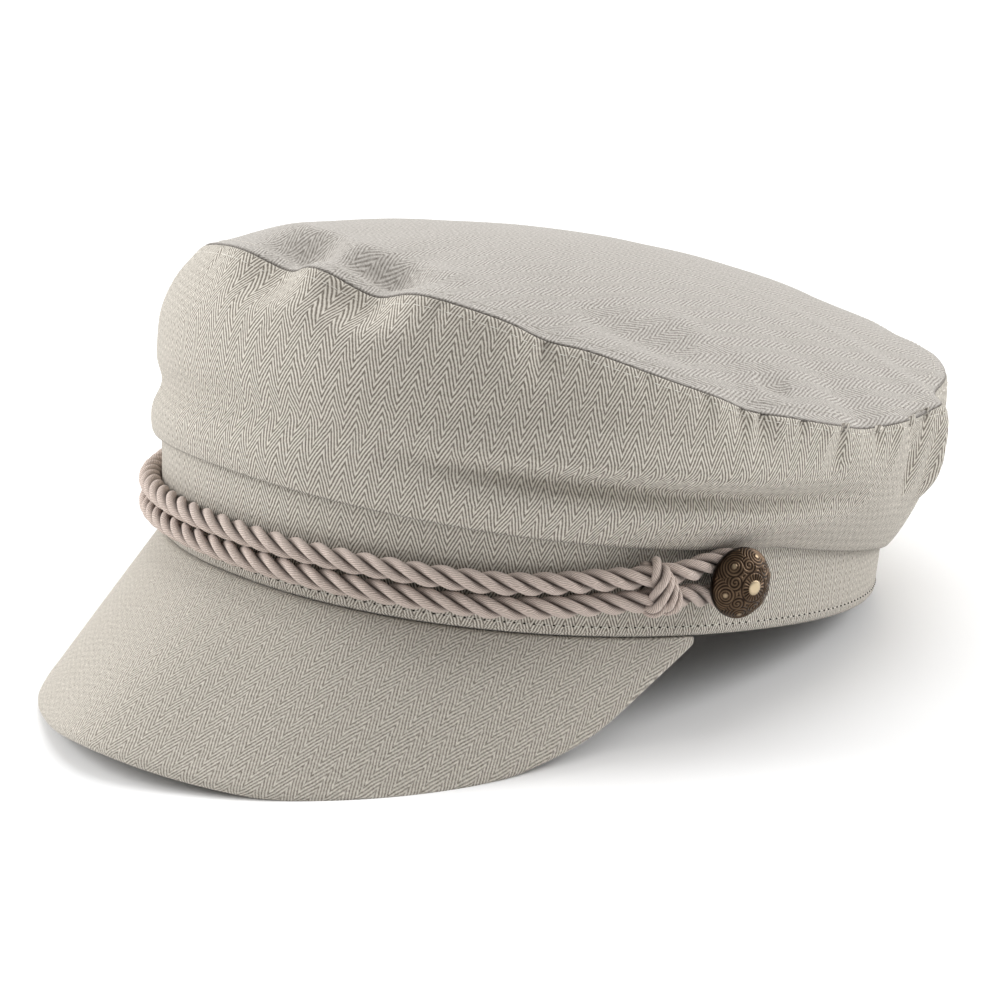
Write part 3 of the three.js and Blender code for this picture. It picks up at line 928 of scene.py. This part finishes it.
# The same places at equal steps along a closed line, with the line's length.
def even_steps(route, steps):
    reached = [0.0]
    closed = route + route[:1]
    for (start, _), (end, _) in zip(closed, closed[1:]):
        reached.append(reached[-1] + (end - start).length)
    places = []
    for k in range(steps):
        way = reached[-1] * k / steps
        i = max(1, bisect_left(reached, way))
        share = (way - reached[i - 1]) / (reached[i] - reached[i - 1])
        (start, start_out), (end, end_out) = closed[i - 1], closed[i]
        places.append((start.lerp(end, share), start_out.lerp(end_out, share).normalized()))
    return places, reached[-1]


# How far each ply's middle is from the rope's, as a share of the rope's radius
PLY_OFFSET = 0.53


# How far a laid rope's surface is from its middle line, in its radius, at an angle in a section.
def ply_radius(angle, plies):
    sector = 2 * math.pi / plies
    across = (angle % sector) - sector / 2
    aside = PLY_OFFSET * math.sin(across)
    return PLY_OFFSET * math.cos(across) + math.sqrt((1 - PLY_OFFSET) ** 2 - aside ** 2)


# Where the painted shade in the creases between the plies starts and ends, from deep to high
PLY_SHADE_START = 0.1
PLY_SHADE_END = 0.78


def laid_rope(route, steps, sides, radius, plies, lay):
    places, length = even_steps(route, steps)
    turns = round(length / lay * plies) / plies
    deepest = ply_radius(0, plies)

    def ply_reach(across, along):
        return ply_radius((along + across * turns) * 2 * math.pi, plies)

    def surface(across, along):
        k = round(across * steps) % steps
        place, out = places[k]
        ahead = (places[(k + 1) % steps][0] - places[k - 1][0]).normalized()
        side = out.cross(ahead).normalized()
        lift = ahead.cross(side)
        angle = along * 2 * math.pi
        reach = radius * ply_reach(across, along)
        return place + (lift * math.cos(angle) + side * math.sin(angle)) * reach

    def weave(across, along):
        return across * length, along * 2 * math.pi * radius

    # Painted shade: how much each place is darkened, most deep in the creases between the plies.
    def painted_shade(across, along):
        low, high = lerp(deepest, 1, PLY_SHADE_START), lerp(deepest, 1, PLY_SHADE_END)
        return 1 - smooth(ply_reach(across, along), low, high)

    return wrapped_grid(steps, sides, surface, weave, painted_shade)


# The rope's rows along it and round it
ROPE_STEPS = 1500
ROPE_SIDES = 48


def add_rope(material):
    mesh = laid_rope(rope_route(), ROPE_STEPS, ROPE_SIDES, ROPE_RADIUS, ROPE_PLIES, ROPE_LAY)
    return finish_piece("laid_rope", mesh, material, ["rope"])


# Knots: the places on a turn, its rows along it and round it, its lay, and how square it lies
KNOT_ROUTE_STEPS = 72
KNOT_STEPS = 150
KNOT_SIDES = 30
KNOT_LAY = 14.0
KNOT_SQUARENESS = 2.5


# One turn of a knot round the runs, from a lowest to a highest height beside the middle of the
# runs. Its places are on the left side, with the way out of each.
def knot_turn(distance, low, high, reach, lean):
    angle = angle_of(BUTTON_ARC - distance)
    out = head_normal(angle)
    ahead = out.cross(UP)
    centre = band_point(angle, rope_height(distance), rope_stand_off(distance))
    places = []
    for k in range(KNOT_ROUTE_STEPS):
        turn = 2 * math.pi * k / KNOT_ROUTE_STEPS
        stretch = lerp(low, high, 0.5 + 0.5 * clamp(math.sin(turn) * KNOT_SQUARENESS, -1, 1))
        away = out * math.cos(turn) + UP * math.sin(turn)
        point = centre + away * reach + UP * stretch + ahead * lean * math.sin(turn)
        places.append((point, away))
    return places


# The turns of a knot: place along the rope, lowest and highest height, distance out from the
# middle, lean along the rope and the cord's radius, in millimetres
KnotTurn = namedtuple("KnotTurn", "distance low high reach lean cord")
KNOT_TURNS = [
    KnotTurn(3.0, -1.9, 2.2, 3.1, 0.3, 2.6),
    KnotTurn(0.5, -1.9, 0.4, 3.2, 1.7, 2.2),
    KnotTurn(-1.5, -2.6, -1.5, 3.0, 1.4, 1.8),
]


def add_knot(name, material, mirror):
    knot = bmesh.new()
    for turn in KNOT_TURNS:
        route = knot_turn(KNOT_DISTANCE + turn.distance, turn.low, turn.high, turn.reach, turn.lean)
        wrap = laid_rope(route, KNOT_STEPS, KNOT_SIDES, turn.cord, ROPE_PLIES, KNOT_LAY)
        part = bpy.data.meshes.new("turn")
        wrap.to_mesh(part)
        wrap.free()
        knot.from_mesh(part)
        bpy.data.meshes.remove(part)
    if mirror:
        bmesh.ops.scale(knot, vec=(-1, 1, 1), verts=knot.verts)
        bmesh.ops.recalc_face_normals(knot, faces=knot.faces)
    side = "right" if mirror else "left"
    return finish_piece(name, knot, material, [f"rope_knot_{side}"])


# Button ornament, in millimetres and as shares of its height
BOSS_COUNT = 6
BOSS_RING = 6.1
BOSS_TURN = 0.3
MIDDLE_BOSS = 1.35
SMALL_BOSS = 0.7
SMALL_BOSS_CREST = 0.62
BOSS_FOOT = 0.45
SCROLL_RING = 4.3
LINE_PITCH = 0.68
LINE_SWING = 0.22
RAY_COUNT = 22
RAY_LENGTH = 1.1


# The button's ornament: a boss in the middle, a ring of small bosses and scrolls between them.
# Each row has the place on the button's face, the boss's radius and how tightly its lines turn.
Ornament = namedtuple("Ornament", "x y boss curl")
ORNAMENTS = [Ornament(0, 0, MIDDLE_BOSS, 0)]
for number in range(BOSS_COUNT):
    at = 2 * math.pi * (number + BOSS_TURN) / BOSS_COUNT
    ORNAMENTS.append(Ornament(BOSS_RING * math.cos(at), BOSS_RING * math.sin(at), SMALL_BOSS, 0))
    at += math.pi / BOSS_COUNT
    ORNAMENTS.append(Ornament(SCROLL_RING * math.cos(at), SCROLL_RING * math.sin(at), 0, 1))


# How far the button's face is raised, from 0 in its grooves to 1 on its bosses.
def button_relief(x, y):
    nearest = min(ORNAMENTS, key=lambda each: math.hypot(x - each.x, y - each.y) - each.boss)
    away = math.hypot(x - nearest.x, y - nearest.y)
    if away < nearest.boss:
        crest = 1 if nearest.boss == MIDDLE_BOSS else SMALL_BOSS_CREST
        return crest * lerp(BOSS_FOOT, 1, math.sqrt(1 - (away / nearest.boss) ** 2))
    turn = math.atan2(y - nearest.y, x - nearest.x)
    if nearest.boss == MIDDLE_BOSS and away < MIDDLE_BOSS + RAY_LENGTH:
        return LINE_SWING * (1 + math.cos(RAY_COUNT * turn))
    phase = 2 * math.pi * (away - nearest.boss) / LINE_PITCH + nearest.curl * turn
    return LINE_SWING * (1 - math.cos(phase))


# Button body, in millimetres from the headband outwards
BUTTON_BACK = 2 * (ROPE_RADIUS + GAP) + LOOP_LIFT
BUTTON_FACE = BUTTON_BACK + BUTTON_RIM
BUTTON_EDGE = 0.3
DOME_ROWS = 64
BUTTON_STEPS = 320
BUTTON_MERGE = 0.0005
ORNAMENT_START = 0.2
ORNAMENT_FULL = 1.2
ORNAMENT_CLOSENESS = 1.1
RISE_CENTRE = 2


# The button's half section, from the middle of its shank out and over the dome, spun round.
def button_body():
    mesh = bmesh.new()
    profile = [
        Vector((0, 0, GAP)),
        Vector((SHANK_RADIUS, 0, GAP)),
        Vector((SHANK_RADIUS, 0, BUTTON_BACK)),
        Vector((BUTTON_RADIUS - BUTTON_EDGE, 0, BUTTON_BACK)),
    ]
    for k in range(DOME_ROWS + 1):
        turn = k / DOME_ROWS * math.pi / 2
        height = BUTTON_FACE + (BUTTON_DOME - BUTTON_RIM) * math.sin(turn)
        profile.append(Vector((BUTTON_RADIUS * math.cos(turn), 0, height)))
    verts = [mesh.verts.new(point) for point in profile]
    edges = [mesh.edges.new(pair) for pair in zip(verts, verts[1:])]
    bmesh.ops.spin(mesh, geom=verts + edges, cent=(0, 0, 0), axis=(0, 0, 1), dvec=(0, 0, 0),
                   angle=2 * math.pi, steps=BUTTON_STEPS, use_merge=True, use_duplicate=False)
    bmesh.ops.remove_doubles(mesh, verts=mesh.verts, dist=BUTTON_MERGE)
    bmesh.ops.recalc_face_normals(mesh, faces=mesh.faces)
    for face in mesh.faces:
        face.smooth = True
    return mesh


# Raises the ornament out of the dome and keeps its height in the relief attribute. The ornament
# is laid round the dome from its top, a little closer than it is drawn.
def raise_ornament(mesh):
    layer = mesh.verts.layers.float.new("relief")
    for vertex in mesh.verts:
        radius = math.hypot(vertex.co.x, vertex.co.y)
        on_face = smooth(vertex.co.z - BUTTON_FACE, ORNAMENT_START, ORNAMENT_FULL)
        bend = math.asin(min(1, radius / BUTTON_RADIUS)) / (math.pi / 2)
        spread = BUTTON_RADIUS * bend * ORNAMENT_CLOSENESS / max(radius, 0.001)
        rise = button_relief(vertex.co.x * spread, vertex.co.y * spread) * on_face
        vertex[layer] = rise
        away = Vector((vertex.co.x, vertex.co.y, RISE_CENTRE + vertex.co.z - BUTTON_BACK))
        vertex.co += away.normalized() * rise * BUTTON_RELIEF


def add_button(name, material, side):
    mesh = button_body()
    raise_ornament(mesh)
    angle = math.radians(BUTTON_ANGLE)
    turned = head_normal(angle).to_track_quat("Z", "Y").to_matrix().to_4x4()
    mesh.transform(Matrix.Translation(band_point(angle, BUTTON_HEIGHT, 0)) @ turned)
    if side == "right":
        bmesh.ops.scale(mesh, vec=(-1, 1, 1), verts=mesh.verts)
        bmesh.ops.recalc_face_normals(mesh, faces=mesh.faces)
    return finish_piece(name, mesh, material, [f"button_{side}"])


SEAM_WALK_STEPS = 4000


# Places at even steps along a line on a surface, with the way out of the cloth at each.
def along_surface(start, end, step, surface):
    reached = 0.0
    places = []
    last = surface(start)
    for k in range(SEAM_WALK_STEPS + 1):
        angle = lerp(start, end, k / SEAM_WALK_STEPS)
        point = surface(angle)
        reached += (point - last).length
        last = point
        if reached >= step or k == 0:
            places.append((point, head_normal(angle)))
            reached = 0.0
    return places


# The mesh of one stitch, a small round that is stretched for each place.
def stitch_shape():
    shape = bmesh.new()
    bmesh.ops.create_uvsphere(shape, u_segments=8, v_segments=6, radius=0.5)
    for face in shape.faces:
        face.smooth = True
    stitch = bpy.data.meshes.new("stitch")
    shape.to_mesh(stitch)
    shape.free()
    return stitch


# Rows of stitches: the angle where each starts, and its step, length and thickness in millimetres
StitchRow = namedtuple("StitchRow", "name start step length thickness")
SIDE_TOPSTITCH = StitchRow("side_topstitch", 0, 2.7, 2.1, 0.22)
TOP_TOPSTITCH = StitchRow("top_topstitch", 0, 2.7, 2.1, 0.18)
# The band's holes are dark rounds that stand for the shade in the needle holes: painted shade.
BAND_HOLES = StitchRow("band_hole_shade", 0, 2.4, 0.7, 0.5)
BAND_STITCHES = StitchRow("band_stitches", 0.012, 2.4, 1.4, 0.22)


# A row of short threads round the cap, each lying along the cloth between two of its holes.
def add_stitches(row, surface, material):
    places = along_surface(row.start, 2 * math.pi, row.step, surface)
    size = Matrix.Diagonal((row.length, row.thickness, row.thickness, 1))
    stitch = stitch_shape()
    stitches = bmesh.new()
    for (point, out), (ahead_point, _) in zip(places, places[1:]):
        ahead = (ahead_point - point).normalized()
        side = out.cross(ahead).normalized()
        turned = Matrix((ahead, side, out)).transposed().to_4x4()
        place = Matrix.Translation(point) @ turned @ size
        stitch.transform(place)
        stitches.from_mesh(stitch)
        stitch.transform(place.inverted())
    bpy.data.meshes.remove(stitch)
    return finish_piece(row.name, stitches, material)


# Thread colours, the dark of the band's needle holes being painted shade, and where the rows lie:
# shares of the way to the seam and from it, the height on the headband, and how far each row
# stands out of the cloth, in millimetres
THREAD_PALE = (0.72, 0.69, 0.63, 1)
HOLE_SHADE = (0.03, 0.024, 0.018, 1)
UNDER_SEAM = 0.95
OVER_SEAM = 0.035
BAND_STITCH_HEIGHT = 2.6
SIDE_STITCH_LIFT = 0.02
TOP_STITCH_LIFT = 0.03
BAND_STITCH_LIFT = 0.05


def thread(name, colour):
    shader = Shader(name)
    shader.set_values({"Base Color": colour, "Roughness": 0.8})
    return shader.material


def add_all_stitches():
    pale = thread("pale_thread", THREAD_PALE)
    # Painted shade: a near-black material for the shade in the band's needle holes.
    dark = thread("hole_shade", HOLE_SHADE)

    def under_seam(angle):
        return side_surface(angle, UNDER_SEAM) + head_normal(angle) * SIDE_STITCH_LIFT

    def over_seam(angle):
        return top_surface(angle, OVER_SEAM) + UP * TOP_STITCH_LIFT

    def band_foot(angle):
        return band_point(angle, BAND_STITCH_HEIGHT, BAND_STITCH_LIFT)

    add_stitches(SIDE_TOPSTITCH, under_seam, pale)
    add_stitches(TOP_TOPSTITCH, over_seam, pale)
    add_stitches(BAND_HOLES, band_foot, dark)
    add_stitches(BAND_STITCHES, band_foot, pale)


def add_floor():
    mesh = bmesh.new()
    bmesh.ops.create_grid(mesh, x_segments=1, y_segments=1, size=FLOOR_HALF_WIDTH)
    data = bpy.data.meshes.new("floor")
    mesh.to_mesh(data)
    mesh.free()
    data.materials.append(pale_floor())
    floor = bpy.data.objects.new("floor", data)
    bpy.context.collection.objects.link(floor)


# Lights: place and size in metres, and power in watts
Lamp = namedtuple("Lamp", "name place size power")
LAMPS = [
    Lamp("left_light", (-1.2, -0.9, 0.8), 1.0, 23),
    Lamp("right_light", (0.8, 1.3, 0.8), 1.0, 18),
    Lamp("top_light", (-0.2, 0.3, 1.6), 1.2, 11),
]
LAMP_AIM = (0, 0, 0.06)
SKY_STRENGTH = 0.5


def add_light(lamp):
    data = bpy.data.lights.new(lamp.name, "AREA")
    data.shape = "DISK"
    data.size = lamp.size
    data.energy = lamp.power
    light = bpy.data.objects.new(lamp.name, data)
    bpy.context.collection.objects.link(light)
    light.location = lamp.place
    light.rotation_euler = (Vector(lamp.place) - Vector(LAMP_AIM)).to_track_quat("Z", "Y").to_euler()


def add_lights():
    world = bpy.data.worlds.new("soft_light")
    bpy.context.scene.world = world
    world.use_nodes = True
    background = world.node_tree.nodes["Background"]
    background.inputs["Color"].default_value = (1, 1, 1, 1)
    background.inputs["Strength"].default_value = SKY_STRENGTH
    for lamp in LAMPS:
        add_light(lamp)


def add_camera():
    data = bpy.data.cameras.new("camera")
    data.lens = CAMERA_LENS
    data.sensor_width = CAMERA_SENSOR
    data.shift_x, data.shift_y = CAMERA_SHIFT
    data.clip_end = CAMERA_REACH
    camera = bpy.data.objects.new("camera", data)
    bpy.context.collection.objects.link(camera)
    back = Vector((
        math.sin(CAMERA_AZIMUTH) * math.cos(CAMERA_ELEVATION),
        -math.cos(CAMERA_AZIMUTH) * math.cos(CAMERA_ELEVATION),
        math.sin(CAMERA_ELEVATION),
    ))
    camera.location = CAMERA_AIM + back * CAMERA_DISTANCE
    camera.rotation_euler = back.to_track_quat("Z", "Y").to_euler()
    bpy.context.scene.camera = camera


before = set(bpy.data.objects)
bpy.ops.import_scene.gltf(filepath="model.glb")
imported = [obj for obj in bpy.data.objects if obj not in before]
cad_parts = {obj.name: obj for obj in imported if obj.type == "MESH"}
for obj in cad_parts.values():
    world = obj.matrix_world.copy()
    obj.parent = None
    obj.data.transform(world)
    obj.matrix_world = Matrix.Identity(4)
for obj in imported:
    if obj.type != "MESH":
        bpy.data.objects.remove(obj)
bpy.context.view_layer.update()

crown_cloth = herringbone("crown_cloth")
band_cloth = herringbone("band_cloth")
peak_cloth = herringbone("peak_cloth", PEAK_CONTRAST)
# The top panel's cloth is a darker copy of the crown's cloth: painted shade.
shaded_top_cloth = herringbone("crown_top_cloth", TOP_CONTRAST, SHADED_TOP_YARN_LIGHT, SHADED_TOP_YARN_DARK)
rope = rope_cotton()
brass = antique_brass()

add_crown_side(crown_cloth)
add_crown_top(shaded_top_cloth)
add_headband(band_cloth)
add_peak(peak_cloth)
add_rope(rope)
add_knot("knot_left_cord", rope, False)
add_knot("knot_right_cord", rope, True)
add_button("button_left_cast", brass, "left")
add_button("button_right_cast", brass, "right")
add_all_stitches()

add_floor()
add_lights()
add_camera()
bpy.context.scene.view_settings.view_transform = "Standard"
